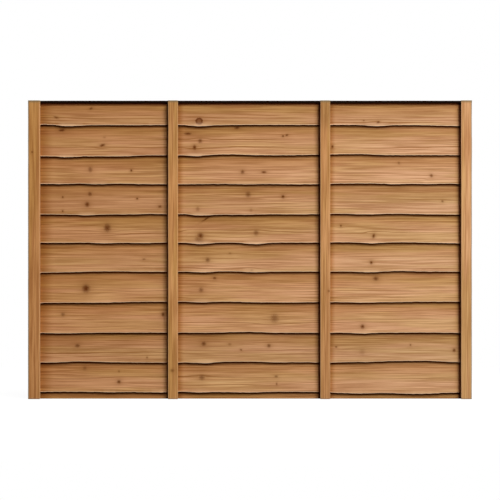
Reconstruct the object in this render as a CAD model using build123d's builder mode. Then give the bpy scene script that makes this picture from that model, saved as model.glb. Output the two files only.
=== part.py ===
from build123d import *
from math import asin, cos, sin
from numpy import interp, linspace
import os

# A six foot waney lap fence panel. Eleven thin boards run the full width, each one lapping over the
# top of the board below. Their lower edges keep the wavy line of the log. Four battens on the front
# and a frame on the back hold the boards between them, nailed from the back.
#
# The panel stands on z = 0, centred on x and y. Its front faces -y. All sizes are in millimetres.

# The panel as a whole
panel_width = 1828
panel_height = 1230
fit_gap = 0.1  # between pieces that bear on each other without being cut to fit

# The boards
board_thickness = 6.5
lap_pitch = 122.3  # from one board's lower edge to the next one's
board_lap = 22  # how far a board reaches up behind the one above
lowest_edge = 28  # height of the lowest waney edge above the ground
board_end_inset = 1  # the boards stop this much short of the battens' outer faces
wane_rise = 3.2  # the back of the natural edge is this much higher than its front
wane_section = ((0, 1), (0.45, 0.25), (1, 0))  # shares of the thickness, from the back, and of that rise
deepest_wane = 11.5  # the furthest that any edge hangs below its own line
edge_softening = 22  # the waney edge is averaged over this far to each side
edge_step = 30  # between the points that the edge's curve passes through

# The front battens
front_thickness = 16
end_batten_width = 45
left_front_width = 49  # the front batten at the left end is a little wider
mid_batten_width = 41
left_bay = 527  # clear width between the left end batten and the next one
right_bay = 539
arris = 0.8  # the long corners are eased by this much

# The right end batten's outer corner is wane, but for a bit at the top and one stretch further down
corner_wane_width = 2.6
corner_wane_depth = 10
sound_top = 9
sound_stretch = 79
sound_stretch_below_top = 149  # from the batten's top down to where the stretch begins

# The frame on the back
rear_thickness = 16
rail_width = 35

# The packer that fills the top, between the front battens and the rail
packer_height = 9

# The nails, drawn six-sided
nail_radius = 1.4
nail_length = 40
nail_head_radius = 3
nail_head_thickness = 1.2
nail_sides = 6
nail_fit = 0.05
nail_tip_room = 1  # the hole runs on this far past the point
nail_above_edge = 14  # from a board's nominal lower edge up to its nails

# Each board's waney edge from left to right, top board first. Each point says how far along the board
# it is, as a percentage, and how far it hangs below the edge's own line. The edge runs straight from
# point to point, with its corners averaged away. The bottom board is sawn straight, so it has none.
# A taller panel starts again at the first shape.
waney_edges = [
    [(0, -2), (5.5, -2), (8.2, 5.5), (14, 0), (24, 0.5), (34.8, -1), (38.6, 6.2), (42, 0.5),
     (54, 0), (68, -1), (75, -0.5), (78.8, 5.8), (82, 0), (88, 0), (95, 3.3), (100, 4)],
    [(0, 6), (5.5, 6.5), (8.6, 11.2), (12, 6.8), (22.5, 6.5), (25.7, 2.5), (35.4, 2.3), (37.6, 7.8),
     (40.5, 1.5), (44, -1.5), (47.5, -1.4), (50.5, 2), (59, 2), (67, -1), (75, -3.3), (80, 1.4),
     (100, 1.6)],
    [(0, -3.5), (7.5, -1), (11.5, -3.9), (15.4, 0.3), (20, -3.8), (26, -0.9), (38, -0.8), (44.5, -2),
     (49.5, 0.4), (53.8, -2), (60, 0), (66, -0.8), (70, -3.8), (79.6, -3.7), (82.4, 0), (86.4, -3.2),
     (90, -1), (94.5, -3.6), (100, -0.8)],
    [(0, 1), (10.5, 2.6), (13.2, 6.2), (16, 2), (24, 1.7), (27.3, -1.3), (31, 0.9), (35, -0.4),
     (38.9, 7.6), (42.5, 2.4), (49.8, 3.2), (54, 0.7), (62, 1.8), (70, -1.8), (76, 2), (82.5, -1.8),
     (89, 1), (100, 2.6)],
    [(0, -4.5), (7.5, -3.3), (13, -4.8), (17.2, -0.8), (20.5, -4), (26.4, -2), (30, -4.9),
     (35.8, -3.9), (38.9, 3.4), (42.4, -4.2), (47.2, -4.5), (51.1, 3.4), (55, -4.4), (65, -4.5),
     (70, -6), (74.5, -4.8), (77.6, -0.5), (80.8, -5.2), (86, -5.7), (92, -3.2), (100, 0)],
    [(0, -2.5), (9, -4.2), (14, -7.6), (20.8, -8.5), (24, -6.7), (36, -7), (39.6, -3), (43, -8.4),
     (47, -7.9), (51, -3.6), (55, -7), (73, -7.4), (77, -3.6), (80, -7.4), (84, -10.4), (88, -7.6),
     (100, -6.8)],
    [(0, 1.5), (5, -0.9), (17, -1.2), (25, -4.9), (36, -5.4), (39, -1), (42, -5.3), (46.8, -5.4),
     (50.5, -2.7), (60, -2), (66, -3.8), (72, -3), (75.8, -1), (79, -2.9), (83, -3.3), (88, -5.4),
     (100, -5.4)],
    [(0, 0.5), (8, 3.5), (16, 0), (30, 0), (42, 0.3), (47.6, -3), (51.2, -3), (55, 0.6), (66, 0.6),
     (71.8, 0.3), (75.3, 4.6), (79.2, 0.2), (90, -0.6), (100, 2)],
    [(0, 0.5), (6, 1.2), (11.5, -4.2), (19, 0), (28, 1.6), (37.2, 1.6), (40.2, 5.2), (43.4, -2.2),
     (52.4, -2.4), (55.3, 1), (60, -0.5), (69, 1.2), (73.5, -1.4), (76, -0.6), (82, -5.2), (90.5, -6.2),
     (95, -1.4), (100, 0.5)],
    [(0, 0.5), (8, -1.1), (16, 0), (19, 2.1), (22, 0), (30, 2.5), (34.5, -1.6), (38.7, 3), (41.4, 0),
     (50.5, 2.6), (55.3, -0.8), (64, -0.4), (69, 3.5), (75, 6.8), (80.2, 4), (87, 8), (91, 7),
     (93.6, 3.6), (100, 2.2)],
]

# Worked out from the sizes above
tilt = asin((board_thickness + fit_gap) / lap_pitch)  # lays each board flat against the next
boards_top = panel_height - packer_height
edge_count = int((boards_top - lowest_edge - board_lap) / lap_pitch) + 1
edge_heights = [lowest_edge + lap_pitch * (edge_count - 1 - row) for row in range(edge_count)]
board_reach = lap_pitch * cos(tilt) + board_lap  # from a full board's lower edge up to its top
board_half = panel_width / 2 - board_end_inset

front_swing = deepest_wane * sin(tilt)  # the lowest edges stand this much further out
lap_depth = board_thickness * cos(tilt) + board_reach * sin(tilt) + front_swing + 2 * fit_gap
panel_depth = front_thickness + lap_depth + rear_thickness
back_face = panel_depth / 2
rear_line = back_face - rear_thickness  # where the boards meet the frame on the back
front_line = rear_line - lap_depth  # where they meet the front battens
board_back = front_line + fit_gap + board_thickness * cos(tilt) + front_swing

left_end = (end_batten_width - panel_width) / 2
right_end = (panel_width - end_batten_width) / 2
left_front = (left_front_width - panel_width) / 2
left_mid = left_front + (left_front_width + mid_batten_width) / 2 + left_bay
right_mid = right_end - (end_batten_width + mid_batten_width) / 2 - right_bay
rail_length = panel_width - 2 * end_batten_width

nail_rows = [height + nail_above_edge for height in edge_heights]
nail_rows += [panel_height - packer_height / 2, rail_width / 2]
nail_places = [(x, z) for x in (left_end, left_mid, right_mid, right_end) for z in nail_rows]

# The heights between which the right end batten's outer corner is wane
stretch_top = panel_height - sound_stretch_below_top
wane_spans = [(0, stretch_top - sound_stretch), (stretch_top, panel_height - sound_top)]


def board_plane(height, forward):
    """A plane along a board whose lower edge is at this height, this far in front of its back face."""
    origin = (0, board_back, height)
    return Plane(origin, x_dir=(1, 0, 0), z_dir=(0, -cos(tilt), sin(tilt))).offset(forward)


def nail_rods(radius, length):
    """A six-sided rod at each nail, from the panel's back forwards."""
    with BuildPart() as rods:
        with BuildSketch(Plane.XZ.offset(-back_face)):
            with Locations(*nail_places):
                RegularPolygon(radius, nail_sides)
        extrude(amount=length)
    return rods.part


# What the nails take out of the wood: holes for their shanks and pockets for their heads
shank_holes = nail_rods(nail_radius + nail_fit, nail_length + nail_tip_room).solids()
head_pockets = nail_rods(nail_head_radius + nail_fit, nail_head_thickness + nail_fit).solids()


def those_near(rods, piece):
    """The rods that can reach this piece, so that no others are tried on it."""
    box = piece.bounding_box()
    low = box.min - Vector(nail_head_radius, 0, nail_head_radius)
    high = box.max + Vector(nail_head_radius, 0, nail_head_radius)
    centres = [(rod, rod.center()) for rod in rods]
    return [rod for rod, at in centres if low.X < at.X < high.X and low.Z < at.Z < high.Z]


def waney_line(shape):
    """The points of a waney edge, evenly spaced, as places along the board and drops below its line."""
    places = [board_half * (2 * along / 100 - 1) for along, drop in shape]
    drops = [drop for along, drop in shape]
    for x in linspace(-board_half, board_half, round(2 * board_half / edge_step) + 1):
        around = linspace(x - edge_softening, x + edge_softening, 5)
        yield float(x), float(interp(around, places, drops).mean())


def waney_board(height, top, shape):
    """A board with a natural lower edge, which is lowest at the front and rounds up towards the back."""
    line = list(waney_line(shape))
    with BuildPart() as board:
        for forward, rise in wane_section:
            with BuildSketch(board_plane(height, forward * board_thickness)):
                with BuildLine():
                    edge = Spline(*[(x, rise * wane_rise - drop) for x, drop in line])
                    Polyline(edge @ 1, (board_half, top), (-board_half, top), edge @ 0)
                make_face()
        loft(ruled=True)
        add(those_near(shank_holes, board.part), mode=Mode.SUBTRACT)
    return board.part


def sawn_board(height, bottom, top):
    """A board that was ripped straight along its lower edge."""
    with BuildPart() as board:
        with BuildSketch(board_plane(height, 0)):
            with Locations((0, bottom)):
                Rectangle(2 * board_half, top - bottom, align=(Align.CENTER, Align.MIN))
        extrude(amount=board_thickness)
        add(those_near(shank_holes, board.part), mode=Mode.SUBTRACT)
    return board.part


def front_batten(x, width, wane=()):
    """A full-height batten on the front. Its outer corners are eased, and the right one of them is wane
    between the pairs of heights given."""
    corner = (x + width / 2, front_line - front_thickness)
    with BuildPart() as batten:
        with BuildSketch(Plane.XY):
            with Locations((x, front_line)):
                Rectangle(width, front_thickness, align=(Align.CENTER, Align.MAX))
        extrude(amount=panel_height)
        chamfer(batten.edges().filter_by(Axis.Z).group_by(Axis.Y)[0], arris)
        add(those_near(shank_holes, batten.part), mode=Mode.SUBTRACT)
        for low, high in wane:
            with BuildSketch(Plane.XY.offset(low)):
                with BuildLine():
                    slope_back = (corner[0], corner[1] + corner_wane_depth)
                    slope_front = (corner[0] - corner_wane_width, corner[1])
                    Polyline(corner, slope_back, slope_front, close=True)
                make_face()
            extrude(amount=high - low, mode=Mode.SUBTRACT)
    return batten.part


def rear_batten(x, width, bottom, top):
    """An upright of the frame on the back."""
    with BuildPart() as batten:
        with BuildSketch(Plane.XY.offset(bottom)):
            with Locations((x, rear_line)):
                Rectangle(width, rear_thickness, align=(Align.CENTER, Align.MIN))
        extrude(amount=top - bottom)
        chamfer(batten.edges().filter_by(Axis.Z).group_by(Axis.Y)[-1], arris)
        add(those_near(shank_holes, batten.part), mode=Mode.SUBTRACT)
        add(those_near(head_pockets, batten.part), mode=Mode.SUBTRACT)
    return batten.part


def rear_rail(bottom):
    """A rail of the frame on the back, between its end battens."""
    with BuildPart() as rail:
        with BuildSketch(Plane.YZ.offset(-rail_length / 2)):
            with Locations((rear_line, bottom)):
                Rectangle(rear_thickness, rail_width, align=(Align.MIN, Align.MIN))
        extrude(amount=rail_length)
        chamfer(rail.edges().filter_by(Axis.X).group_by(Axis.Y)[-1], arris)
        add(those_near(shank_holes, rail.part), mode=Mode.SUBTRACT)
        add(those_near(head_pockets, rail.part), mode=Mode.SUBTRACT)
    return rail.part


def save(name, part):
    part.label = name
    export_step(part, f"parts/{name}.step")


os.makedirs("parts", exist_ok=True)

# The boards, from the top. The first is cut down to end under the packer.
for row, height in enumerate(edge_heights):
    reach = board_reach
    if row == 0:
        reach = (boards_top - fit_gap - board_thickness * sin(tilt) - height) / cos(tilt)
    shape = waney_edges[row % len(waney_edges)]
    save(f"lap_board_{row + 1:02}", waney_board(height, reach, shape))

# The bottom board lies one step behind the lowest waney edge and is cut off at the ground.
bottom_height = lowest_edge - lap_pitch
bottom_cut = (fit_gap - bottom_height) / cos(tilt)
save("bottom_board", sawn_board(bottom_height, bottom_cut, board_reach))

save("front_batten_left_end", front_batten(left_front, left_front_width))
save("front_batten_left_mid", front_batten(left_mid, mid_batten_width))
save("front_batten_right_mid", front_batten(right_mid, mid_batten_width))
save("front_batten_right_end", front_batten(right_end, end_batten_width, wane_spans))

rail_top = rail_width
rail_under = panel_height - rail_width
save("rear_batten_left_end", rear_batten(left_end, end_batten_width, 0, panel_height))
save("rear_batten_left_mid", rear_batten(left_mid, mid_batten_width, rail_top, rail_under))
save("rear_batten_right_mid", rear_batten(right_mid, mid_batten_width, rail_top, rail_under))
save("rear_batten_right_end", rear_batten(right_end, end_batten_width, 0, panel_height))
save("rear_bottom_rail", rear_rail(0))
save("rear_top_rail", rear_rail(rail_under))

# The packer lies on the first board's top edge and fills the depth between front and back.
with BuildPart() as packer:
    with BuildSketch(Plane.XY.offset(boards_top)):
        with Locations((0, front_line)):
            Rectangle(2 * board_half, lap_depth, align=(Align.CENTER, Align.MIN))
    extrude(amount=packer_height)
    add(those_near(shank_holes, packer.part), mode=Mode.SUBTRACT)
save("top_packer", packer.part)

# The nails go in from the back, through frame and boards and into the front battens.
with BuildPart() as nails:
    add(nail_rods(nail_head_radius, nail_head_thickness))
    add(nail_rods(nail_radius, nail_length))
save("frame_nails", nails.part)
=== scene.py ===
# A waney lap fence panel: ten wavy-edged boards and a sawn one, battens front and back, rails,
# a packer and nails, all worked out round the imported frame. Everything is in metres.
import math
from functools import reduce
import bpy
import numpy as np
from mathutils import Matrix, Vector


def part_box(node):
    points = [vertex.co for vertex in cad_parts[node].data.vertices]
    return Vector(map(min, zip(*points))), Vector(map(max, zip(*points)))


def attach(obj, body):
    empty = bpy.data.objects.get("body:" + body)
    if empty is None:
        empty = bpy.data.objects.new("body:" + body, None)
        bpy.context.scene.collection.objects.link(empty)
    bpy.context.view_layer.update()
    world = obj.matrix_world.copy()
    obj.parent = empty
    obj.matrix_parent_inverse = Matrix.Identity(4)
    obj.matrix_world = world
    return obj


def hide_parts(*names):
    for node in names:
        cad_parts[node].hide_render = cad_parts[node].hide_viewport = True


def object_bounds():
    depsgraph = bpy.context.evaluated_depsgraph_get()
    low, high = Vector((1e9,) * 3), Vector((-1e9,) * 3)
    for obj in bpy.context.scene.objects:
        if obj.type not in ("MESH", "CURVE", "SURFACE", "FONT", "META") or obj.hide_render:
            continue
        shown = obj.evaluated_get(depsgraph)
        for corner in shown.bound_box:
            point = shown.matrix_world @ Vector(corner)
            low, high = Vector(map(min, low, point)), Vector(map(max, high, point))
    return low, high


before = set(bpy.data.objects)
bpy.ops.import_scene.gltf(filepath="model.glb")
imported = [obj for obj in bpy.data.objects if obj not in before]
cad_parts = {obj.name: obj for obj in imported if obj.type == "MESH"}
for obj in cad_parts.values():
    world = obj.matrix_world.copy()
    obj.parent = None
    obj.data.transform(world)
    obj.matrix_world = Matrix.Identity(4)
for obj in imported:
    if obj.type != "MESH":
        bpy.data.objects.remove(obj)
cadBox = [list(corner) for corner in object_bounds()]
mm = 0.001
print("frame loaded:", len(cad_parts), "nodes")


# Shared mesh helpers

def ripple(x, wavelength, seed):
    # a smooth wander between about -1 and 1: six sines of random phase, near one wavelength
    rng = np.random.default_rng(seed)
    lengths = wavelength * rng.uniform(0.55, 1.7, 6)
    phases = rng.uniform(0, 2 * math.pi, 6)
    strengths = rng.uniform(0.5, 1, 6)
    x = np.asarray(x, float)
    waves = strengths * np.sin(2 * math.pi * x[..., None] / lengths + phases)
    return waves.sum(-1) / strengths.sum() * 1.6


def smoothLine(x, knownX, knownY):
    # a cubic through the known points, with each point's slope taken from its two neighbours
    slopes = np.gradient(knownY, knownX)
    i = np.clip(np.searchsorted(knownX, x) - 1, 0, len(knownX) - 2)
    span = knownX[i + 1] - knownX[i]
    t = np.clip((x - knownX[i]) / span, 0, 1)
    return ((2 * t**3 - 3 * t**2 + 1) * knownY[i] + (t**3 - 2 * t**2 + t) * span * slopes[i]
            + (3 * t**2 - 2 * t**3) * knownY[i + 1] + (t**3 - t**2) * span * slopes[i + 1])


def pieceName(node):
    first, *rest = node.split("_")
    return first + "".join(word.capitalize() for word in rest)


def nodePoints(node):
    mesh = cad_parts[node].data
    points = np.empty(len(mesh.vertices) * 3, np.float32)
    mesh.vertices.foreach_get("co", points)
    return points.reshape(-1, 3).astype(float)


def middles(values, gap):
    # the middle of each bunch of values that lie closer together than the gap
    values = np.sort(values)
    bunches = np.split(values, np.where(np.diff(values) > gap)[0] + 1)
    return np.array([(bunch[0] + bunch[-1]) / 2 for bunch in bunches])


def loopFaces(stations, around):
    # the quads between neighbouring stations of a closed section
    i, j = np.meshgrid(np.arange(stations - 1), np.arange(around), indexing="ij")
    k = (j + 1) % around
    return np.stack([i * around + j, i * around + k, (i + 1) * around + k, (i + 1) * around + j],
                    -1).reshape(-1, 4)


def solidFromLoops(name, points, nodes, attributes=None, sharpAngle=38):
    # carries a closed section along its stations and caps both ends; points is stations x around x 3
    stations, around = points.shape[:2]
    quads = loopFaces(stations, around)
    flat = points.reshape(-1, 3)
    a, b, c, d = (flat[quads[:, n]] for n in range(4))
    volume = (np.cross(a, b) * c).sum() + (np.cross(a, c) * d).sum()
    caps = [list(range(around))[::-1], list(range((stations - 1) * around, stations * around))]
    faces = quads.tolist() + caps
    if volume < 0:
        faces = [face[::-1] for face in faces]
    mesh = bpy.data.meshes.new(name)
    mesh.from_pydata(flat.tolist(), [], faces)
    for label, values in (attributes or {}).items():
        mesh.attributes.new(label, "FLOAT", "POINT").data.foreach_set(
            "value", values.reshape(-1).astype(np.float32))
    mesh.shade_smooth()
    mesh.set_sharp_from_angle(angle=math.radians(sharpAngle))
    return addPiece(name, mesh, nodes)


def addObject(name, data):
    thing = bpy.data.objects.new(name, data)
    bpy.context.scene.collection.objects.link(thing)
    return thing


def addPiece(name, mesh, nodes):
    mesh.validate()
    piece = addObject(name, mesh)
    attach(piece, "root")
    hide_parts(*nodes)
    return piece


# Shared node helpers

def feed(tree, socket, value):
    if isinstance(value, bpy.types.NodeSocket):
        tree.links.new(value, socket)
    else:
        socket.default_value = value


def calc(tree, operation, *values, clamp=False):
    node = tree.nodes.new("ShaderNodeMath")
    node.operation = operation
    node.use_clamp = clamp
    for socket, value in zip(node.inputs, values):
        feed(tree, socket, value)
    return node.outputs[0]


def fade(tree, value, low, high, atLow=0.0, atHigh=1.0):
    # eases from atLow to atHigh while the value goes from low to high
    node = tree.nodes.new("ShaderNodeMapRange")
    node.interpolation_type = "SMOOTHSTEP"
    for socket, given in zip(node.inputs, (value, low, high, atLow, atHigh)):
        feed(tree, socket, given)
    return node.outputs[0]


def blendColour(tree, amount, first, second, mode="MIX"):
    node = tree.nodes.new("ShaderNodeMix")
    node.data_type = "RGBA"
    node.blend_type = mode
    for number, value in ((0, amount), (6, first), (7, second)):
        feed(tree, node.inputs[number], value)
    return node.outputs[2]


def times(tree, *values):
    return reduce(lambda first, second: calc(tree, "MULTIPLY", first, second), values)


def plus(tree, *values):
    return reduce(lambda first, second: calc(tree, "ADD", first, second), values)


def minus(tree, first, second):
    return calc(tree, "SUBTRACT", first, second)


def darkened(tree, colour, shade):
    # the colour multiplied by the shade
    return blendColour(tree, 1.0, colour, shade, "MULTIPLY")


def axesOf(tree, vector):
    split = tree.nodes.new("ShaderNodeSeparateXYZ")
    feed(tree, split.inputs[0], vector)
    return split.outputs


def stretched(tree, place, scale, offset=(0, 0, 0)):
    # the place with each axis scaled, for a pattern drawn out along the grain
    node = tree.nodes.new("ShaderNodeVectorMath")
    node.operation = "MULTIPLY_ADD"
    feed(tree, node.inputs[0], place)
    node.inputs[1].default_value = scale
    feed(tree, node.inputs[2], offset)
    return node.outputs[0]


def cloud(tree, place, detail=2.0, roughness=0.5):
    node = tree.nodes.new("ShaderNodeTexNoise")
    node.noise_dimensions = "3D"
    feed(tree, node.inputs["Vector"], place)
    node.inputs["Scale"].default_value = 1
    node.inputs["Detail"].default_value = detail
    node.inputs["Roughness"].default_value = roughness
    return node.outputs[0]


def startGroup(name, inputs, outputs):
    # inputs and outputs each map a kind of socket to its labels
    tree = bpy.data.node_groups.new(name, "ShaderNodeTree")
    kinds = {"value": "NodeSocketFloat", "colour": "NodeSocketColor", "vector": "NodeSocketVector"}
    for side, sockets in (("INPUT", inputs), ("OUTPUT", outputs)):
        for kind, labels in sockets.items():
            for label in labels:
                tree.interface.new_socket(label, in_out=side, socket_type=kinds[kind])
    return tree, tree.nodes.new("NodeGroupInput").outputs, tree.nodes.new("NodeGroupOutput").inputs


def feedShader(tree, label, value):
    feed(tree, tree.nodes["Principled BSDF"].inputs[label], value)


def useGroup(tree, group, **values):
    # places a group and feeds its named inputs; an underscore in a name stands for a space
    node = tree.nodes.new("ShaderNodeGroup")
    node.node_tree = group
    for label, value in values.items():
        feed(tree, node.inputs[label.replace("_", " ")], value)
    return node.outputs


def rgb(red, green, blue):
    # a colour given as 0 to 255 in sRGB, as the linear values that sockets hold
    parts = [part / 255 for part in (red, green, blue)]
    return (*[part / 12.92 if part <= 0.04045 else ((part + 0.055) / 1.055)**2.4 for part in parts], 1)


# Node groups for the timber

grainSet = {
    "noises": {  # cells in a metre along, through and up the board, then detail and roughness
        "slow": ((1.7, 9, 9), 1.5, 0.45), "quick": ((11, 38, 38), 2, 0.5),
        "patches": ((2.1, 19, 19), 1, 0.5), "fibre": ((26, 1000, 1000), 3, 0.6),
        "broad": ((5, 60, 185), 1, 0.6), "narrow": ((5.5, 90, 300), 0, 0.5),
        "blotch": ((3.6, 14, 17), 2, 0.5), "warmth": ((2.3, 20, 25), 2, 0.5),
    },
    "seedSteps": (7.31, 3.17, 5.73), "ringStep": 3.7, "warmthStep": (9, 4, 2),
    "quickShift": 0.0042,  # how far in metres the quick noise bends a ring
    "lateGrows": (0.6, 0.92), "lateEnds": (0.94, 1.0),  # shares of a ring
    "lineRange": 0.9, "lineLeast": 0.15, "patchEdge": (0.38, 0.6),
    "linesInPatch": (0.25, 1), "streaksInPatch": (0.6, 1.15),
    "streakShares": {"broad": 1.25, "narrow": 1.0},
}


grainMarks = ("Late", "Tone", "Fibre", "Streak", "Blotch", "Warmth")


def makeGrainGroup():
    # growth rings round a pith that lies behind the board, cut by its faces; Place has x along the
    # grain. A ring darkens slowly outwards and ends sharply. Fibre and streaks are drawn-out noise,
    # and lines and streaks are both stronger inside patches of a broad noise.
    tree, given, out = startGroup("softwoodGrain", {
        "vector": ["Place"],
        "value": ["Pull", "Pith Depth", "Pith Height", "Ring Width", "Wander", "Seed"]},
        {"value": grainMarks})
    place = axesOf(tree, given["Place"])
    seed = tree.nodes.new("ShaderNodeCombineXYZ")
    for axis, factor in enumerate(grainSet["seedSteps"]):
        feed(tree, seed.inputs[axis], times(tree, given["Seed"], factor))
    seed = seed.outputs[0]

    def noise(name, offset=seed):
        scale, detail, roughness = grainSet["noises"][name]
        return cloud(tree, stretched(tree, given["Place"], scale, offset), detail, roughness)

    slow = times(tree, minus(tree, noise("slow"), 0.5), given["Wander"])
    quick = times(tree, minus(tree, noise("quick"), 0.5), grainSet["quickShift"])
    height = minus(tree, plus(tree, place[2], given["Pull"]), given["Pith Height"])
    depth = plus(tree, place[1], given["Pith Depth"])
    radius = calc(tree, "SQRT", plus(tree, times(tree, height, height), times(tree, depth, depth)))
    phase = calc(tree, "DIVIDE", plus(tree, radius, slow, quick), given["Ring Width"])
    phase = plus(tree, phase, times(tree, given["Seed"], grainSet["ringStep"]))
    share = calc(tree, "FRACT", phase)
    ring = tree.nodes.new("ShaderNodeTexWhiteNoise")
    ring.noise_dimensions = "1D"
    feed(tree, ring.inputs["W"], calc(tree, "FLOOR", phase))
    ring = ring.outputs["Value"]
    late = times(tree, fade(tree, share, *grainSet["lateGrows"]),
                 fade(tree, share, *grainSet["lateEnds"], 1, 0))
    strength = plus(tree, times(tree, ring, ring, grainSet["lineRange"]), grainSet["lineLeast"])
    patches = noise("patches")
    patch = fade(tree, patches, *grainSet["patchEdge"], *grainSet["linesInPatch"])
    feed(tree, out["Late"], times(tree, late, strength, patch))
    feed(tree, out["Tone"], ring)
    feed(tree, out["Fibre"], noise("fibre"))
    streaks = plus(tree, *[times(tree, minus(tree, noise(name), 0.5), weight)
                           for name, weight in grainSet["streakShares"].items()])
    patch = fade(tree, patches, *grainSet["patchEdge"], *grainSet["streaksInPatch"])
    feed(tree, out["Streak"], plus(tree, times(tree, streaks, patch), 0.5))
    feed(tree, out["Blotch"], noise("blotch"))
    feed(tree, out["Warmth"], noise("warmth", stretched(tree, seed, (1, 1, 1), grainSet["warmthStep"])))
    return tree


knotSet = {  # distances are shares of the knot's own radius
    "ragScale": 210, "rag": 0.9, "firmEdge": (0.8, 1.15), "heart": (0.3, 0.8, 0.6, 1),
    "softEdge": (0.1, 1.35), "haloFall": -0.26, "pull": -0.95, "pullReach": 0.36,
}


def makeKnotGroup():
    # a knot: an oval of dark wood round its centre, a brown halo that falls off as a bell curve, and a
    # pull that moves the rings aside, strongest at the knot and dying away further along the grain. A
    # firm knot has an even rim round a paler heart, and a soft one fades from its middle.
    marks = ("Pull", "Core", "Halo")
    tree, given, out = startGroup("knotInWood", {
        "vector": ["Place", "Centre"],
        "value": ["Turn", "Radius", "Stretch", "Darkness", "Firmness", *marks]}, {"value": marks})
    away = tree.nodes.new("ShaderNodeVectorMath")
    away.operation = "SUBTRACT"
    feed(tree, away.inputs[0], given["Place"])
    feed(tree, away.inputs[1], given["Centre"])
    turned = tree.nodes.new("ShaderNodeVectorRotate")
    turned.rotation_type = "Y_AXIS"
    feed(tree, turned.inputs["Vector"], away.outputs[0])
    feed(tree, turned.inputs["Angle"], given["Turn"])
    place = axesOf(tree, turned.outputs[0])
    along = calc(tree, "DIVIDE", place[0], given["Radius"])
    across = calc(tree, "DIVIDE", place[2], given["Radius"])
    acrossSquared = times(tree, across, across)
    narrow = calc(tree, "DIVIDE", along, given["Stretch"])
    oval = calc(tree, "SQRT", plus(tree, times(tree, narrow, narrow), acrossSquared))
    rag = cloud(tree, stretched(tree, given["Place"], [knotSet["ragScale"]] * 3), 2, 0.6)
    ragged = plus(tree, oval, times(tree, minus(tree, rag, 0.5), knotSet["rag"]))
    firm = times(tree, fade(tree, ragged, *knotSet["firmEdge"], 1, 0), fade(tree, oval, *knotSet["heart"]))
    soft = fade(tree, ragged, *knotSet["softEdge"], 1, 0)
    core = plus(tree, times(tree, firm, given["Firmness"]),
                times(tree, soft, minus(tree, 1, given["Firmness"])))
    halo = calc(tree, "EXPONENT", times(tree, oval, oval, knotSet["haloFall"]))
    for label, mask in (("Core", core), ("Halo", halo)):
        feed(tree, out[label], calc(tree, "MAXIMUM", given[label], times(tree, mask, given["Darkness"])))
    reach = times(tree, along, knotSet["pullReach"])
    reach = plus(tree, times(tree, reach, reach), acrossSquared, 1)
    pull = calc(tree, "DIVIDE", times(tree, place[2], knotSet["pull"]), reach)
    feed(tree, out["Pull"], plus(tree, given["Pull"], pull))
    return tree


tintSet = {
    "hueEdge": (0.38, 0.62), "powers": (0.85, 1.15, 1.5),  # blue falls faster than red in the dark
    "light": {"Blotch": (0.25, 0.75, 0.96, 1.04), "Streak": (0.18, 0.82, -0.22, 0.22),
              "Fibre": (0.3, 0.7, -0.07, 0.07), "Tone": (0, 1, -0.01, 0.01)},
    "halo": 0.5, "relief": {"Fibre": 0.55, "Late": 0.5, "Streak": 0.3, "Core": -0.4},
}


def makeTintGroup():
    # the stained wood's colour: two hues mixed by patches, multiplied by a light that adds up blotches,
    # streaks, fibres and rings, then mixed towards the line and knot colours. The height adds the same
    # marks by their shares of the relief.
    tree, given, out = startGroup("stainedTimber", {
        "value": [*grainMarks, "Core", "Halo", "Line Strength"],
        "colour": ["Golden", "Rosy", "Line", "Knot"]}, {"colour": ["Colour"], "value": ["Height"]})
    rosy = fade(tree, given["Warmth"], *tintSet["hueEdge"])
    colour = blendColour(tree, rosy, given["Golden"], given["Rosy"])
    light = plus(tree, *[fade(tree, given[label], *span) for label, span in tintSet["light"].items()])
    shade = tree.nodes.new("ShaderNodeCombineColor")
    for number, power in enumerate(tintSet["powers"]):
        feed(tree, shade.inputs[number], calc(tree, "POWER", light, power))
    colour = darkened(tree, colour, shade.outputs[0])
    colour = blendColour(tree, times(tree, given["Late"], given["Line Strength"]), colour, given["Line"])
    colour = blendColour(tree, times(tree, given["Halo"], tintSet["halo"]), colour, given["Line"])
    feed(tree, out["Colour"], blendColour(tree, given["Core"], colour, given["Knot"]))
    feed(tree, out["Height"], plus(tree, *[times(tree, given[label], share)
                                           for label, share in tintSet["relief"].items()]))
    return tree


grainGroup, knotGroup, tintGroup = makeGrainGroup(), makeKnotGroup(), makeTintGroup()


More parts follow.
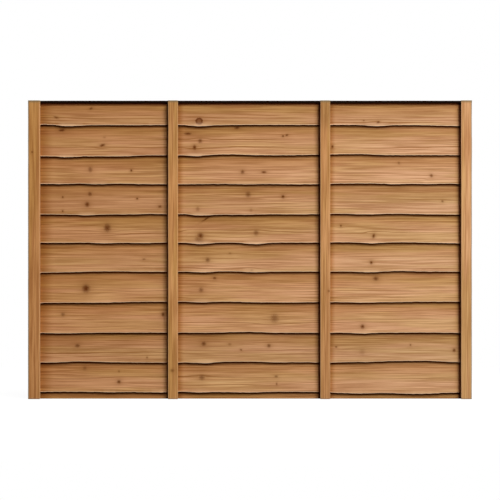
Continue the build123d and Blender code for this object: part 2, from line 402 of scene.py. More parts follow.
def startTimber(name, origin, turn, knots, look):
    # places the grain in the piece's own axes, adds its knots one after another, and returns the tree
    # with the colour so far. The wood grows paler from the panel's left to its right: partly a paler hue,
    # partly painted light.
    material, tree = newMaterial(name)
    coordinates = tree.nodes.new("ShaderNodeTexCoord").outputs
    placing = tree.nodes.new("ShaderNodeMapping")
    placing.vector_type = "TEXTURE"
    placing.inputs["Location"].default_value = origin
    placing.inputs["Rotation"].default_value = turn
    feed(tree, placing.inputs["Vector"], coordinates["Object"])
    place = placing.outputs[0]
    pull = core = halo = 0.0
    for along, up, radius, darkness, stretch, *form in knots:
        angle, firmness = (*form, 0, 0)[:2]
        knot = useGroup(tree, knotGroup, Place=place, Centre=(along, 0, up), Radius=radius,
                        Stretch=stretch, Turn=math.radians(angle), Darkness=darkness,
                        Firmness=firmness, Pull=pull, Core=core, Halo=halo)
        pull, core, halo = knot["Pull"], knot["Core"], knot["Halo"]
    grain = useGroup(tree, grainGroup, Place=place, Pull=pull, Pith_Depth=look["pithDepth"],
                     Pith_Height=look["pithHeight"], Ring_Width=look["ringWidth"],
                     Wander=look["wander"], Seed=look["seed"])
    strength = look["lineStrength"]
    if "linesUnderLap" in look:
        strength = fade(tree, readAttribute(tree, "underLap"), *look["linesUnderLap"])
    tint = useGroup(tree, tintGroup, Core=core, Halo=halo, Golden=look["golden"], Rosy=look["rosy"],
                    Line=look["line"], Knot=look["knot"], Line_Strength=strength,
                    **{label: grain[label] for label in grainMarks})
    side = minus(tree, axesOf(tree, coordinates["Object"])[0], cadBox[0][0])
    side = calc(tree, "DIVIDE", side, cadBox[1][0] - cadBox[0][0], clamp=True)
    # a painted light gradient along the panel, darker at the left and brighter at the lit right, with a hue
    # change
    tone = blendColour(tree, side, look["leftTone"], look["rightTone"])
    feedShader(tree, "Specular IOR Level", look["gloss"])
    rough = plus(tree, times(tree, grain["Fibre"], look["roughSpread"]),
                 look["roughness"] - look["roughSpread"] / 2)
    feedShader(tree, "Roughness", rough)
    addBump(tree, tint["Height"], look["bump"], look["relief"])
    return material, tree, coordinates, darkened(tree, tint["Colour"], tone)


def addBump(tree, height, strength, distance):
    bump = tree.nodes.new("ShaderNodeBump")
    bump.inputs["Strength"].default_value = strength
    bump.inputs["Distance"].default_value = distance
    feed(tree, bump.inputs["Height"], height)
    feedShader(tree, "Normal", bump.outputs[0])


def endShade(tree, coordinates, axis, colour, darker):
    # end grain drinks more stain, so faces that look along the grain are darker
    facing = calc(tree, "ABSOLUTE", axesOf(tree, coordinates["Normal"])[axis])
    return blendColour(tree, fade(tree, facing, 0.6, 0.9), colour, darkened(tree, colour, darker))


def newMaterial(name):
    material = bpy.data.materials.new(name)
    material.use_nodes = True
    return material, material.node_tree


def readAttribute(tree, label):
    node = tree.nodes.new("ShaderNodeAttribute")
    node.attribute_type = "GEOMETRY"
    node.attribute_name = label
    return node.outputs["Fac"]


timberLook = {
    "golden": rgb(186, 138, 90), "rosy": rgb(191, 138, 97), "line": rgb(138, 88, 44),
    "knot": rgb(92, 40, 2), "lineStrength": 1.0, "gloss": 0.05, "roughness": 0.68, "roughSpread": 0.18,
    "bump": 0.35, "relief": 0.4 * mm,
    "wander": 0.02,  # how far in metres the rings stray
    "leftTone": (0.955, 0.905, 0.80, 1), "rightTone": (1.045, 1.14, 1.23, 1),  # paler to the right, partly a paler hue and partly painted light
}

# The lap boards

sawnRow = 11  # the lowest board, sawn off straight
boardSet = {
    "stations": 460, "frontRows": 14, "backRows": 9, "waneRows": 6,
    "wanePower": 2.3, "lipEase": 0.5 * mm,  # the wane falls to the front as this power
    "edgeFray": 0.35 * mm, "faceRelief": 0.16 * mm, "endEase": 0.4 * mm, "topEase": 0.3 * mm,
    "nailClear": 2.5 * mm, "edgeZone": 30 * mm, "slack": 0.02 * mm,  # where a CAD board's edge is read
    "knotFoot": 0.1441, "knotFootTop": 0.0935,  # below a board's top, the height that knots go by
    "linesUnderLap": (0.018, 0.065, 0.45, 1.3),  # from and to in metres, with the lines' strength there
    # the lip's pale band is partly paler edge wood and partly a painted highlight
    "lip": rgb(232, 191, 152), "lipHighlightReach": 0.0045, "lipHighlightShare": 0.66, "wane": rgb(146, 92, 50),
    "highlightBesideBatten": (0.004, 0.022),  # the lip's painted highlight fades within these metres of a batten, where the batten's shade falls
    "dipReach": 0.020, "dipShare": 0.42, "dipWindow": 0.11, "dipFull": 4 * mm,
    "endGrain": rgb(196, 176, 160), "clearOfLap": 0.2,  # the back takes no shade from the lap in front
    "paintedShade": [  # painted shade under the lap above and beside the battens, where shadow falls: attribute, shade, from and to in metres
        ("underLap", rgb(226, 212, 178), -0.002, 0.085), ("underLap", rgb(149, 97, 56), 0.002, 0.014),
        ("beforeBatten", rgb(120, 74, 36), 0.003, 0.014),
        ("beforeBatten", rgb(240, 232, 216), 0.005, 0.035),
        ("afterBatten", rgb(214, 196, 164), 0.001, 0.030)],
    "beforeShares": (1, 1.6, 1.15, 0.95), "afterShares": (0.5, 1.1, 1.2, 1), "besideBatten": 0.02,
}

# Each knot: place along and height on the panel, radius (all in mm), darkness and stretch, then a turn in
# degrees where it has one, and a 1 where it has a firm dark rim round a paler heart
boardKnots = {
    1: [(-656, 1198, 4.5, 0.62, 1.5, 25), (-800, 1161, 4.5, 0.5, 2.6, -25),
        (-210, 1145, 10, 0.8, 1.05, 0, 1), (528, 1140, 4.5, 0.79, 1.5, 20), (469, 1148, 3, 0.52, 1.4)],
    2: [(-777, 1108, 5, 0.77, 2.4, 5), (-601, 1079, 4, 0.25, 1.6), (-609, 1046, 5.5, 0.85, 2, 15),
        (-54, 1118, 5, 0.66, 2, 10), (-257, 1094, 5, 0.72, 3), (-206, 1064, 7.5, 0.6, 1),
        (-229, 1037, 8, 0.85, 0.8), (136, 1084, 4, 0.85, 1.2), (152, 1088, 4, 0.77, 1.6, 20),
        (340, 1040, 6, 0.7, 0.8)],
    3: [(-659, 946, 9, 0.48, 0.8), (-490, 942, 5, 0.77, 0.9), (-31, 936, 7, 0.61, 1),
        (57, 935, 4.5, 0.77, 2.2), (614, 973, 5.5, 0.4, 0.8, 35), (748, 921, 6.5, 0.6, 0.9, 30)],
    4: [(-661, 845, 7.5, 0.56, 0.9), (-466, 826, 4, 0.78, 1.1, 25), (-672, 802, 8.5, 0.72, 0.9),
        (-773, 832, 4, 0.66, 1), (-773, 774, 4, 0.83, 0.9), (-372, 793, 5.5, 0.66, 1.3),
        (-8, 843, 9.5, 0.5, 0.9), (136, 834, 6, 0.83, 1), (-216, 783, 8, 0.33, 0.8),
        (4, 778, 6.5, 0.24, 0.8), (794, 815, 5, 0.49, 1.1)],
    5: [(-589, 705, 11.5, 0.7, 0.85), (-204, 673, 9.5, 0.74, 1), (-211, 655, 11, 0.42, 1.2, -25),
        (25, 685, 9, 0.49, 0.95), (375, 714, 4.5, 0.72, 0.8), (510, 672, 8, 0.75, 0.6, -15),
        (-182, 742, 3, 0.73, 7, 32)],
    6: [(-438, 576, 4, 0.41, 2), (-175, 573, 8, 0.54, 0.95), (-83, 600, 4, 0.3, 1.6),
        (7, 528, 6.5, 0.23, 0.9), (500, 562, 6, 0.85, 0.9)],
    7: [(-677, 455, 11.5, 0.85, 0.95), (-146, 498, 5.5, 0.58, 1.2), (-202, 449, 8.5, 0.48, 0.9),
        (519, 496, 7.5, 0.61, 1.2)],
    8: [(-772, 348, 7.5, 0.41, 1), (-359, 348, 7.5, 0.69, 0.8), (101, 332, 12.5, 0.44, 0.9),
        (464, 298, 7.5, 0.72, 0.9)],
    9: [(-712, 219, 6.5, 0.59, 1.4), (-425, 170, 4, 0.52, 0.8), (-191, 227, 7.5, 0.63, 1.1),
        (78, 219, 6.5, 0.59, 1), (-37, 202, 4, 0.83, 0.7, 60), (-84, 225, 5, 0.33, 1.4),
        (463, 193, 10.5, 0.2, 0.9), (842, 200, 6.5, 0.7, 0.9, -20), (355, 214, 4, 0.66, 1.2),
        (662, 222, 4, 0.55, 0.8)],
    10: [(-682, 126, 8, 0.28, 0.9), (-541, 113, 3.5, 0.51, 0.8), (-541, 70, 6.5, 0.71, 1.1),
         (-199, 88, 9, 0.48, 1), (108, 92, 5, 0.47, 1.5), (110, 61, 5, 0.55, 0.5)],
}
boardTonesAndShade = {  # each board's own tone, with painted shade on the top boards and the sawn bottom one: red, green and blue, as shares of the shared look
    1: (0.88, 0.89, 0.93), 2: (0.92, 0.92, 0.94), 3: (0.94, 0.94, 0.96), 4: (0.92, 0.93, 0.94),
    5: (0.97, 0.98, 0.99), 6: (0.99, 1.01, 1.04), 7: (1.03, 1.03, 1.04), 8: (1.05, 1.05, 1.09),
    9: (0.97, 0.98, 1.02), 10: (1.05, 1.06, 1.08), 11: (0.9, 0.88, 0.82),
}


def tinted(colour, tint):
    return (*[min(part * share, 1) for part, share in zip(colour, tint)], 1)


def boardNode(row):
    return "bottom_board" if row == sawnRow else f"lap_board_{row:02}"


def leanOf(node):
    # how far the board leans: the mean direction of its rear faces, weighted by area
    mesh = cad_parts[node].data
    normals = np.empty(len(mesh.polygons) * 3, np.float32)
    areas = np.empty(len(mesh.polygons), np.float32)
    mesh.polygons.foreach_get("normal", normals)
    mesh.polygons.foreach_get("area", areas)
    normals = normals.reshape(-1, 3)
    rear = normals[:, 1] > 0.9
    mean = (normals[rear] * areas[rear, None]).sum(0)
    return math.atan2(-mean[2], mean[1])


headPoints = nodePoints("frame_nails")
headPoints = headPoints[headPoints[:, 1] > headPoints[:, 1].max() - 1e-5]
nailColumns = middles(headPoints[:, 0], 0.02)
nailRows = middles(headPoints[:, 2], 0.012)
lean = leanOf("lap_board_02")
leanSin, leanCos = math.sin(lean), math.cos(lean)
print("board lean", round(math.degrees(lean), 3), "nails", len(nailColumns) * len(nailRows))


def readBoard(node):
    # the board's section and its lower edge lines, back and front, as places along and up the board
    points = nodePoints(node)
    forward = -points[:, 1] * leanCos + points[:, 2] * leanSin
    up = points[:, 1] * leanSin + points[:, 2] * leanCos
    back, front, top = forward.min(), forward.max(), up.max()
    clear = np.abs(points[:, 0, None] - nailColumns).min(1) > boardSet["nailClear"]
    low = up < up.min() + boardSet["edgeZone"]
    lines = []
    for face in (back, front):
        picked = low & clear & (np.abs(forward - face) < boardSet["slack"])
        x, first = np.unique(np.round(points[picked, 0], 5), return_index=True)
        lines.append((x, up[picked][first]))
    return {"back": back, "front": front, "top": top, "lines": lines,
            "ends": (points[:, 0].min(), points[:, 0].max())}


frontBoxes = [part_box(f"front_batten_{place}")
              for place in ("left_end", "left_mid", "right_mid", "right_end")]


def toBatten(x, side, sign, shares):
    # how far a place lies beyond the nearest front batten's low (0) or high (1) side. Each batten has
    # its own share of the distance, so that the shade beside it reaches further where that is small.
    away = np.stack([sign * (x - box[side][0]) * share for box, share in zip(frontBoxes, shares)])
    return np.where(away > -boardSet["besideBatten"], away, 1.0).min(0)


def buildBoard(row, lipAbove):
    # the section runs round the wane, up the front, over the top and down the back. The wane is lowest
    # at the front and rises to the back edge as a power of the depth, and small ripples fray it. It
    # returns the height of the board's lip as a function of the place along the panel.
    node = boardNode(row)
    board = readBoard(node)
    ease = boardSet["endEase"]
    left, right = board["ends"]
    x = np.concatenate([[left], np.linspace(left + ease, right - ease, boardSet["stations"] - 2), [right]])
    inset = np.zeros_like(x)
    inset[[0, -1]] = ease
    fray = boardSet["edgeFray"] * (ripple(x, 45 * mm, row) + 0.5 * ripple(x, 14 * mm, row + 50))
    if row == sawnRow:
        fray = fray * 0
    edges = [smoothLine(x, *line) for line in board["lines"]]
    thick = board["front"] - board["back"]
    backEdge = edges[0] + fray + inset
    frontEdge = edges[1] + fray * 1.4 + inset
    top = board["top"] - inset
    frontAt = thick - inset

    forward, up = [], []
    for share in np.linspace(0, 0.9, boardSet["waneRows"]):
        forward.append(inset + (frontAt - inset) * share)
        up.append(frontEdge + (backEdge - frontEdge) * (1 - share) ** boardSet["wanePower"])
    lip = boardSet["lipEase"]
    forward += [frontAt - 0.3 * lip, frontAt]
    up += [frontEdge + 0.25 * lip, frontEdge + lip]
    for number, share in enumerate(np.linspace(0, 1, boardSet["frontRows"]) ** 1.35):
        height = frontEdge + 2 * lip + (top - 3 * lip - frontEdge) * share
        hollow = boardSet["faceRelief"] * (0.5 + 0.5 * ripple(x, 160 * mm, row * 40 + number // 3))
        forward.append(frontAt - np.clip(hollow, 0, 1) * min(number, 2) / 2)
        up.append(height)
    corner = boardSet["topEase"]
    forward += [frontAt - corner, inset + corner]
    up += [top, top]
    for share in np.linspace(0, 1, boardSet["backRows"]):
        forward.append(inset)
        up.append(top - corner + (backEdge + 0.4 * mm - top + corner) * share)
    forward = np.stack(forward, 1) + board["back"]
    up = np.stack(up, 1)
    along = np.repeat(x[:, None], forward.shape[1], 1)
    points = np.stack([along, -forward * leanCos + up * leanSin, forward * leanSin + up * leanCos], -1)
    frontLine = board["front"] * leanSin + frontEdge * leanCos  # the lip's height on the panel
    around = np.stack([np.interp(x + shift * boardSet["dipWindow"], x, frontEdge)
                       for shift in (-1, -0.5, 0.5, 1)]).mean(0)
    dip = np.clip((around - frontEdge) / boardSet["dipFull"], 0, 1)[:, None] + 0 * up
    underLap = (lipAbove(along) - points[..., 2]) * (0.8 if row == 1 else 1)
    underLap[:, boardSet["waneRows"] + boardSet["frontRows"] + 3:] = boardSet["clearOfLap"]
    attributes = {"underLap": underLap, "aboveEdge": up - frontEdge[:, None],
                  "beforeBatten": toBatten(along, 0, -1, boardSet["beforeShares"]),
                  "afterBatten": toBatten(along, 1, 1, boardSet["afterShares"]), "dip": dip}
    name = pieceName(node) if row == sawnRow else f"waneyBoard{row:02}"
    piece = solidFromLoops(name, points, [node], attributes)
    piece.data.materials.append(boardMaterial(row, board))
    return lambda where: np.interp(where, x, frontLine)


def boardMaterial(row, board):
    # grain and knots in the board's own axes, a painted shadow under the lap above and beside the battens,
    # and a pale lip below that is partly a painted highlight
    rng = np.random.default_rng(row + 300)
    look = dict(timberLook, seed=row * 1.618, pithHeight=0.085 + 0.05 * rng.random(),
                pithDepth=0.026 + 0.02 * rng.random(), ringWidth=0.0088 + 0.0040 * rng.random(),
                linesUnderLap=boardSet["linesUnderLap"])
    for shade in ("golden", "rosy"):
        look[shade] = tinted(timberLook[shade], boardTonesAndShade[row])
    # the front face's plane: y = (z sin - front) / cos, so that a knot's height gives its place up it
    front, foot = board["front"], board["top"] - boardSet["knotFoot" if row > 1 else "knotFootTop"]
    knots = []
    for x, z, radius, darkness, *form in boardKnots.get(row, []):
        up = (z * mm - front * leanSin) / leanCos
        size = radius * (0.78 + 0.07 * radius) * mm  # a wide knot's soft edge takes up more of it
        knots.append((x * mm, up - foot, size, min(darkness * 1.2, 0.92), *form))
    origin = (0, -front * leanCos + foot * leanSin, front * leanSin + foot * leanCos)
    material, tree, coordinates, colour = startTimber(
        f"waneyBoardWood{row:02}", origin, (-lean, 0, 0), knots, look)
    # each band by an edge gets its painted shade
    for label, shade, start, end in boardSet["paintedShade"]:
        near = fade(tree, readAttribute(tree, label), start, end, 1, 0)
        colour = blendColour(tree, near, colour, darkened(tree, colour, shade))
    if row < sawnRow:
        aboveEdge = readAttribute(tree, "aboveEdge")
        # the pale lip: partly paler edge wood, partly a painted highlight that fades in the battens' shade
        lip = times(tree, fade(tree, aboveEdge, 0.0005, boardSet["lipHighlightReach"], 1, 0), boardSet["lipHighlightShare"],
                    fade(tree, readAttribute(tree, "beforeBatten"), *boardSet["highlightBesideBatten"]))
        pale = times(tree, fade(tree, aboveEdge, 0.001, boardSet["dipReach"], 1, 0),
                     times(tree, readAttribute(tree, "dip"), boardSet["dipShare"]))
        for mask in (lip, pale):
            colour = blendColour(tree, mask, colour, boardSet["lip"])
        colour = blendColour(tree, fade(tree, aboveEdge, -0.003, 0.0002, 0.7, 0), colour, boardSet["wane"])
    colour = endShade(tree, coordinates, 0, colour, boardSet["endGrain"])
    feedShader(tree, "Base Color", colour)
    return material


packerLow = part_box("top_packer")[0]


def lipAbove(where):
    # over the top board the packer's lower edge stands in for a lip
    return np.full(np.shape(where), packerLow[2])


for row in range(1, sawnRow + 1):
    lipAbove = buildBoard(row, lipAbove)
print("boards built")

# Battens, rails and packer

battenSet = {
    "ease": 1.3 * mm, "tightEase": 0.35 * mm,  # the long corners, outside and where pieces meet
    "arcPoints": 5, "endEase": 0.6 * mm, "rowStep": 14 * mm, "sideShares": (0.35, 0.65),
    "sideWander": (0.45 * mm, 240 * mm), "faceWander": (0.25 * mm, 180 * mm),  # depth and wavelength
    "dimple": 5.8 * mm, "leastDimple": 3.4 * mm, "dimpleDepth": 0.7 * mm, "endGrain": rgb(186, 166, 150),
    # the pale strip along each long arris of the front battens is a painted highlight
    "arrisHighlight": rgb(204, 160, 118), "arrisHighlightReach": 0.0045, "arrisHighlightShare": 0.42,
    "endGrey": rgb(122, 104, 74), "greyAndShadedEnds": ((0.014, 0.9), (0.006, 0.5)),  # top, foot: reach, share; the grey sawn ends, at the top partly a painted shadow
    # outer sides: weathered grey on the left, and a darker grey on the right that is partly painted shade
    "outerGreyAndShade": (rgb(142, 126, 98), rgb(120, 106, 86)), "outerReach": 0.0065, "outerShare": 0.85,
}
waneCorner = {  # the right end batten's outer corner, as heights in metres
    "width": 2.6 * mm, "depth": 10 * mm, "power": 1.5, "sound": (1.002, 1.081), "topFrom": 1.221,
    "blend": 5 * mm, "grey": rgb(172, 155, 138), "greyLine": 0.9108, "greyShare": 0.85,
}
dimpleSpots = np.array([-6.5, -5.2, -4, -3, -2, -1, 0, 1, 2, 3, 4, 5.2, 6.5]) * mm


def cornerCut(power=1.0, count=battenSet["arcPoints"]):
    # shares of a corner's cut from one face to the next: 0 and 1, then 1 and 0; power 1 is round,
    # and 2 a straight chamfer
    turn = np.linspace(0, math.pi / 2, count)
    return list(zip(1 - np.sin(turn) ** power, 1 - np.cos(turn) ** power))


def timberStations(start, end, nails):
    # even steps along the piece, and closer ones at each nail for its dimple
    count = max(8, int((end - start) / battenSet["rowStep"]))
    start, end = start + battenSet["endEase"], end - battenSet["endEase"]
    spots = [np.linspace(start, end, count)]
    spots += [at + dimpleSpots for at in sorted({round(nail[0], 5) for nail in nails})]
    spots = np.unique(np.round(np.concatenate(spots), 5))
    return spots[(spots >= start - 1e-6) & (spots <= end + 1e-6)]


def timberSection(s, half, depth, nailsAcross, columns, outerEase, wane):
    # the outline as places across the piece and inward from its outer face: a corner, the outer face, a
    # corner, a side, a corner, the inner face, a corner and a side. Each may change along the length.
    whole = np.ones_like(s)
    low, tight = outerEase * whole, battenSet["tightEase"] * whole
    highWidth, highDepth, power = wane(s) if wane else (low, low, 1.0)
    outline = [(-half + low * cos, low * sin) for sin, cos in cornerCut()]
    shares = np.linspace(0, 1, columns + 2)[1:-1]
    if nailsAcross:
        spots = np.unique(np.round(np.concatenate(
            [np.linspace(-half + 3 * mm, half - 3 * mm, 6)] + [at + dimpleSpots for at in nailsAcross]), 5))
        outline += [(spot * whole, 0 * whole) for spot in spots[np.abs(spots) < half - 1.6 * mm]]
    else:
        outline += [(-half + low + share * (2 * half - low - highWidth), 0 * whole) for share in shares]
    outline += [(half - highWidth * sin, highDepth * cos) for sin, cos in cornerCut(power)]
    sides = battenSet["sideShares"]
    outline += [(half * whole, highDepth + share * (depth - highDepth)) for share in sides]
    inner = cornerCut(1.0, 3)
    outline += [(half - tight * cos, depth - tight * sin) for sin, cos in inner]
    outline += [((share * 2 - 1) * half * 0.94 * whole, depth * whole) for share in shares[::-1]]
    outline += [(tight * cos - half, depth - tight * sin) for sin, cos in inner[::-1]]
    outline += [(-half * whole, depth - share * (depth - low)) for share in sides]
    return (np.stack([point[n] for point in outline], 1) for n in (0, 1))


def buildTimber(node, axis, outward, nails, material, wane=None, seed=0, columns=7,
                outerEase=battenSet["ease"]):
    # a rounded rectangle carried along a straight line. It is set in the node's own box: axis is the
    # long way, and outward is -1 where the eased face looks to the front and 1 where it looks back.
    low, high = (np.array(corner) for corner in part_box(node))
    across = 2 if axis == 0 else 0
    half, depth = (high[across] - low[across]) / 2, high[1] - low[1]
    middle = (high[across] + low[across]) / 2
    s = np.concatenate([[low[axis]], timberStations(low[axis], high[axis], nails), [high[axis]]])
    inset = np.zeros_like(s)
    inset[[0, -1]] = battenSet["endEase"]
    nailsAcross = sorted({round(nail[1] - middle, 5) for nail in nails})
    a, b = timberSection(s, half, depth, nailsAcross, columns, outerEase, wane)

    # the faces wander inwards a little along the length, never outwards
    def inward(size, wavelength, number):
        return size * np.clip(0.5 + 0.5 * ripple(s, wavelength, seed + number), 0, 1)[:, None]

    share = (a + half) / (2 * half)
    a = (a + inward(*battenSet["sideWander"], 1) * (1 - share)
         - inward(*battenSet["sideWander"], 2) * share)
    b = b + inward(*battenSet["faceWander"], 3) * (1 - b / depth)
    near = np.full(a.shape, 1.0)
    for alongNail, acrossNail, reach in nails:
        near = np.minimum(near, np.hypot(s[:, None] - alongNail, a - (acrossNail - middle)) / reach)
    dimple = battenSet["dimpleDepth"] * (1 - near * near * (3 - 2 * near))
    b = b + dimple * (b < 0.6 * mm)
    a = a * (1 - inset[:, None] / half)
    b = depth / 2 + (b - depth / 2) * (1 - inset[:, None] / (depth / 2))

    points = np.empty((*a.shape, 3))
    points[..., axis] = s[:, None]
    points[..., across] = middle + a
    points[..., 1] = (low[1] if outward < 0 else high[1]) - outward * b
    solidFromLoops(pieceName(node), points, [node]).data.materials.append(material)


def battenWane(s):
    # the cut grows where the corner is wane and shrinks to a plain arris on the sound stretches
    def step(at):
        t = np.clip((s - at) / waneCorner["blend"] + 0.5, 0, 1)
        return t * t * (3 - 2 * t)

    start, end = waneCorner["sound"]
    sound = np.maximum(step(start) * (1 - step(end)), step(waneCorner["topFrom"]))
    wander = 1 + 0.10 * ripple(s, 70 * mm, 91)
    small = battenSet["ease"]
    return (*[small + (waneCorner[way] * wander - small) * (1 - sound) for way in ("width", "depth")],
            waneCorner["power"])


def timberMaterial(name, node, axis, seed, shade, knots, outerFace, **extra):
    # the grain runs along the piece; its origin is at the middle of the piece's outer face
    low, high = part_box(node)
    middle = [(low[n] + high[n]) / 2 for n in range(3)]
    look = dict(timberLook, seed=seed, wander=0.012, pithHeight=0.004 * math.sin(seed * 9),
                pithDepth=0.02 + 0.012 * abs(math.sin(seed * 5)), ringWidth=0.0032)
    look.update(extra)
    for tone in ("golden", "rosy", "line"):
        look[tone] = tinted(look[tone], shade)
    turn, other, sign = ((0, 0, 0), 2, 1) if axis == 0 else ((0, -math.pi / 2, 0), 0, -1)
    placed = [(along - middle[axis], sign * (across - middle[other]), *rest)
              for along, across, *rest in knots]
    material, tree, coordinates, colour = startTimber(
        name, (middle[0], outerFace, middle[2]), turn, placed, look)
    colour = endShade(tree, coordinates, axis, colour, battenSet["endGrain"])
    feedShader(tree, "Base Color", colour)
    return material, tree, axesOf(tree, coordinates["Object"]), colour


def weatherAndPaintedLight(tree, place, colour, node, topShade):
    # the front battens' faces get a painted highlight by their long arrises and a painted shadow at their
    # tops, and their outer sides and sawn ends have gone grey, partly as painted shade. Each mask fades
    # with the distance from its edge.
    low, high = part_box(node)
    middle, half = (low[0] + high[0]) / 2, (high[0] - low[0]) / 2
    fromEdge = minus(tree, half, calc(tree, "ABSOLUTE", minus(tree, place[0], middle)))
    arrisHighlight = fade(tree, fromEdge, 0.0015, battenSet["arrisHighlightReach"], battenSet["arrisHighlightShare"], 0)
    colour = blendColour(tree, arrisHighlight, colour, battenSet["arrisHighlight"])
    edge = cadBox[1][0]
    outer = fade(tree, calc(tree, "ABSOLUTE", place[0]), edge - battenSet["outerReach"], edge - 0.001,
                 0, battenSet["outerShare"])
    colour = blendColour(tree, outer, colour, battenSet["outerGreyAndShade"][0 if middle < 0 else 1])
    fromTop, fromFoot = minus(tree, high[2], place[2]), minus(tree, place[2], low[2])
    level, start, end = topShade
    shaded = darkened(tree, colour, (level, level, level, 1))
    colour = blendColour(tree, fade(tree, fromTop, start, end, 1, 0), colour, shaded)
    # grey ends, the top one partly a painted shadow
    for distance, (reach, share) in zip((fromTop, fromFoot), battenSet["greyAndShadedEnds"]):
        grey = fade(tree, distance, 0.001, reach, share, 0)
        colour = blendColour(tree, grey, colour, battenSet["endGrey"])
    return colour


def greySound(tree, place, colour):
    # the sound stretch of the wane corner is grey, past a line near the panel's right end
    line, (start, end) = waneCorner["greyLine"], waneCorner["sound"]
    grey = times(tree, fade(tree, place[0], line, line + 0.002),
                 fade(tree, place[2], start - 0.004, start + 0.004),
                 fade(tree, place[2], end - 0.004, end + 0.004, 1, 0), waneCorner["greyShare"])
    return blendColour(tree, grey, colour, waneCorner["grey"])


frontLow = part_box("front_batten_left_end")[0][1]
frontBattens = [  # seed, tint, knots, and the top's shade: level, then start and end below the top
    ("left_end", 21.3, (0.93, 0.87, 0.69),
     [(1.017, -0.897, 0.004, 0.6, 1.2)], (0.95, 0.02, 0.08)),
    ("left_mid", 22.7, (1.01, 0.955, 0.74),
     [(0.118, -0.320, 0.007, 0.5, 1.4, 90)], (0.85, 0.12, 0.42)),
    ("right_mid", 23.9, (0.93, 0.855, 0.655),
     [(0.445, 0.3255, 0.006, 0.6, 0.9)], (0.79, 0.07, 0.15)),
    ("right_end", 25.2, (1.03, 0.98, 0.86), [], (0.93, 0.05, 0.14)),
]
for place, seed, shade, knots, topShade in frontBattens:
    node = "front_batten_" + place
    material, tree, axes, colour = timberMaterial(
        pieceName(node) + "Wood", node, 2, seed, shade, knots, frontLow, lineStrength=0.4)
    colour = weatherAndPaintedLight(tree, axes, colour, node, topShade)
    wane = None
    if place == "right_end":
        colour = greySound(tree, axes, colour)
        wane = battenWane
    feedShader(tree, "Base Color", colour)
    buildTimber(node, 2, -1, [], material, wane, int(seed * 10))

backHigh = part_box("rear_batten_left_end")[1][1]
rearPieces = [  # the axis that each runs along, and its seed
    ("rear_batten_left_end", 2, 31.1),
    ("rear_batten_left_mid", 2, 32.6),
    ("rear_batten_right_mid", 2, 33.4),
    ("rear_batten_right_end", 2, 34.8),
    ("rear_top_rail", 0, 35.5), ("rear_bottom_rail", 0, 36.9),
]
for node, axis, seed in rearPieces:
    low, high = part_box(node)
    other = 2 if axis == 0 else 0
    fixings = []
    for x, z in ((x, z) for x in nailColumns for z in nailRows):
        if low[0] < x < high[0] and low[2] < z < high[2]:
            edge = min(high[2] - z, z - low[2]) if axis == 0 else 1.0
            reach = min(battenSet["dimple"], max(edge - 0.8 * mm, battenSet["leastDimple"]))
            fixings.append((z, x, reach) if axis == 2 else (x, z, reach))
    rng = np.random.default_rng(int(seed * 10))
    knots = [(rng.uniform(low[axis] + 0.06, high[axis] - 0.06),
              rng.uniform(low[other] + 0.008, high[other] - 0.008),
              rng.uniform(0.003, 0.008), rng.uniform(0.45, 0.75), rng.uniform(0.9, 1.5))
             for _ in range(5)]
    material = timberMaterial(pieceName(node) + "Wood", node, axis, seed, (0.96, 0.95, 0.92), knots,
                              backHigh)[0]
    buildTimber(node, axis, 1, fixings, material, seed=int(seed * 10))

# the packer's near-black colour is a painted shadow along the panel's top, between the battens
packerMaterial = timberMaterial("packerPaintedShadow", "top_packer", 0, 41.3, (1, 1, 1), (), packerLow[1],
                                golden=rgb(27, 13, 6), rosy=rgb(24, 9, 4), line=rgb(14, 5, 2),
                                roughness=0.85, gloss=0.03)[0]
buildTimber("top_packer", 0, -1, [], packerMaterial, seed=413, columns=4,
            outerEase=0.4 * mm)
print("battens, rails and packer built")

# Nails

nailSet = {"head": 3.0 * mm, "shank": 1.35 * mm, "thick": 1.2 * mm, "length": 39 * mm, "sides": 18,
           "sunk": 0.12 * mm, "tilt": 3.0, "steel": rgb(150, 150, 146), "rust": rgb(120, 78, 48),
           "headRadii": (0, 0.45, 0.78, 0.93, 1, 1, 0.9), "point": 4 * mm,
           "headDepths": (0, 0.02, 0.06, 0.16, 0.34, 0.75, 1.0)}


def buildNails():
    # a radius that changes with depth, turned about each nail's axis: domed head, rim, shank, point
    head, shank, thick, length = (nailSet[key] for key in ("head", "shank", "thick", "length"))
    point = nailSet["point"]
    radii = np.concatenate([np.array(nailSet["headRadii"]) * head, [shank, shank, shank * 0.6, 0]])
    depths = np.concatenate([np.array(nailSet["headDepths"]) * thick,
                             [thick, length - point, length - 0.4 * point, length]])
    turn = np.linspace(0, 2 * math.pi, nailSet["sides"], endpoint=False)
    rings, sides = len(radii) - 2, len(turn)
    body = np.stack([radii[1:-1, None] * np.cos(turn), np.repeat(-depths[1:-1, None], sides, 1),
                     radii[1:-1, None] * np.sin(turn)], -1)
    one = np.concatenate([[[0, 0, 0]], body.reshape(-1, 3), [[0, -depths[-1], 0]]])
    j = np.arange(sides)
    k = (j + 1) % sides
    faces = [face[::-1] for face in (loopFaces(rings, sides) + 1).tolist()]
    faces += np.stack([np.zeros(sides, int), 1 + j, 1 + k], 1)[:, ::-1].tolist()
    last = 1 + (rings - 1) * sides
    faces += np.stack([np.full(sides, last + sides), last + k, last + j], 1)[:, ::-1].tolist()
    rng = np.random.default_rng(77)
    points, allFaces = [], []
    for number, (x, z) in enumerate((x, z) for x in nailColumns for z in nailRows):
        tilts = np.radians(rng.uniform(-nailSet["tilt"], nailSet["tilt"], 2))
        lift = np.abs(tilts).sum() * head
        piece = one.copy()
        headPart = piece[:, 1] > -1.5 * thick
        piece[headPart, 1] += piece[headPart, 0] * tilts[0] + piece[headPart, 2] * tilts[1]
        piece += (x, backHigh - nailSet["sunk"] - lift, z)
        points.append(piece)
        allFaces += [[v + number * len(one) for v in face] for face in faces]
    mesh = bpy.data.meshes.new("frameNails")
    mesh.from_pydata(np.concatenate(points).tolist(), [], allFaces)
    mesh.shade_smooth()
    mesh.set_sharp_from_angle(angle=math.radians(50))
    return addPiece("frameNails", mesh, ["frame_nails"])


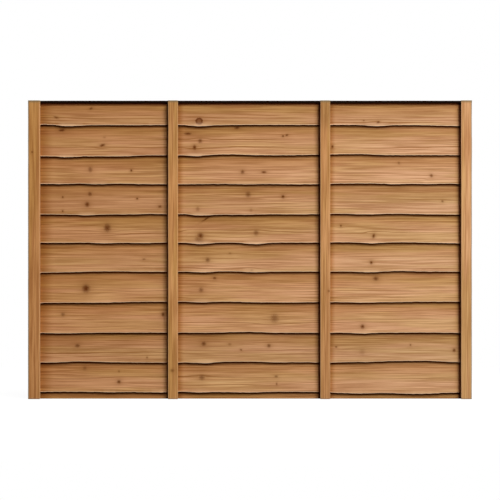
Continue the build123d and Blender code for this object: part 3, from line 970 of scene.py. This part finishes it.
def steelMaterial():
    # dull plated steel: mottled roughness, and rust where a broad noise is high
    material, tree = newMaterial("nailSteel")
    place = tree.nodes.new("ShaderNodeTexCoord").outputs["Object"]
    patches = cloud(tree, stretched(tree, place, (420, 420, 420)), 4, 0.6)
    fine = cloud(tree, stretched(tree, place, (2200, 2200, 2200)), 3, 0.6)
    rust = fade(tree, patches, 0.5, 0.68)
    feedShader(tree, "Base Color", blendColour(tree, rust, nailSet["steel"], nailSet["rust"]))
    feedShader(tree, "Metallic", minus(tree, 0.95, times(tree, rust, 0.7)))
    feedShader(tree, "Roughness", plus(tree, times(tree, rust, 0.3),
                                                fade(tree, fine, 0.3, 0.7, 0.36, 0.5)))
    addBump(tree, plus(tree, fine, rust), 0.3, 0.2 * mm)
    return material


buildNails().data.materials.append(steelMaterial())
print("nails built")

# Floor, light and camera

studio = {
    "floorColour": rgb(236, 236, 236), "floorBounce": rgb(60, 60, 60),
    "floorWhite": 0.93, "whiteFrom": 1.3, "whiteTo": 2.6,  # beyond this the floor is pure white
    "world": 0.03, "floorHalf": 9.0,
    "lamps": {  # where each stands, the point it looks at, its size and its power
        "keyLight": ((3.1, -6.3, 10.3), (0, 0, 0.6), (6.4, 6.4), 1500),
        "sideLight": ((3.4, -3.1, 2.9), (0, 0, 0.6), (1.6, 1.6), 90),
        "topLight": ((3.0, -2.2, 8.6), (0, 0, 0.6), (4.5, 2.6), 650),
        "backLight": ((-2.5, 4.5, 4.4), (0, 0, 0.6), (3.0, 3.0), 330),
    },
    "camera": {"distance": 8.0, "across": -0.0002, "height": 0.6139, "pixel": 4.116 * mm, "wide": 500},
}


def seenDirectly(tree, path):
    # 1 for rays from the camera, alone or by way of a mirror or glass, and 0 for rays that bring light
    return reduce(lambda first, second: calc(tree, "MAXIMUM", first, second),
                  [path[f"Is {kind} Ray"] for kind in ("Camera", "Glossy", "Transmission")])


def addFloor():
    # a matt floor that shows itself white further out, by a glow that only the camera sees
    mesh = bpy.data.meshes.new("floor")
    half = studio["floorHalf"]
    mesh.from_pydata([(-half, -half, 0), (half, -half, 0), (half, half, 0), (-half, half, 0)], [],
                     [(0, 1, 2, 3)])
    addObject("floor", mesh)
    material, tree = newMaterial("paleFloor")
    feedShader(tree, "Roughness", 0.9)
    feedShader(tree, "Specular IOR Level", 0.0)
    glow = tree.nodes.new("ShaderNodeEmission")
    path = tree.nodes.new("ShaderNodeLightPath").outputs
    feedShader(tree, "Base Color", blendColour(
        tree, path["Is Diffuse Ray"], studio["floorColour"], studio["floorBounce"]))
    away = tree.nodes.new("ShaderNodeVectorMath")
    away.operation = "LENGTH"
    feed(tree, away.inputs[0], tree.nodes.new("ShaderNodeTexCoord").outputs["Object"])
    white = fade(tree, away.outputs["Value"], studio["whiteFrom"], studio["whiteTo"],
                 studio["floorWhite"], 1)
    mixed = tree.nodes.new("ShaderNodeMixShader")
    feed(tree, mixed.inputs[0], times(tree, seenDirectly(tree, path), white))
    feed(tree, mixed.inputs[1], tree.nodes["Principled BSDF"].outputs[0])
    feed(tree, mixed.inputs[2], glow.outputs[0])
    feed(tree, tree.nodes["Material Output"].inputs["Surface"], mixed.outputs[0])
    mesh.materials.append(material)


def addWorld():
    world = bpy.data.worlds.new("studio")
    bpy.context.scene.world = world
    world.use_nodes = True
    tree = world.node_tree
    seen = seenDirectly(tree, tree.nodes.new("ShaderNodeLightPath").outputs)
    background = tree.nodes["Background"]
    background.inputs["Color"].default_value = (1, 1, 1, 1)
    feed(tree, background.inputs["Strength"],
         plus(tree, times(tree, seen, 1 - studio["world"]), studio["world"]))


def addLamp(name, place, target, size, power):
    data = bpy.data.lights.new(name, "AREA")
    data.shape = "RECTANGLE"
    data.size, data.size_y = size
    data.energy = power
    lamp = addObject(name, data)
    lamp.location = place
    lamp.rotation_euler = (Vector(target) - lamp.location).to_track_quat("-Z", "Y").to_euler()


def addCamera():
    view = studio["camera"]
    data = bpy.data.cameras.new("camera")
    camera = addObject("camera", data)
    camera.location = (view["across"], cadBox[0][1] - view["distance"], view["height"])
    camera.rotation_euler = (math.pi / 2, 0, 0)
    data.lens = data.sensor_width * view["distance"] / (view["wide"] * view["pixel"])
    data.clip_end = 60
    bpy.context.scene.camera = camera


addFloor()
addWorld()
for name, (place, target, size, power) in studio["lamps"].items():
    addLamp(name, place, target, size, power)
addCamera()
bpy.context.scene.view_settings.view_transform = "Standard"
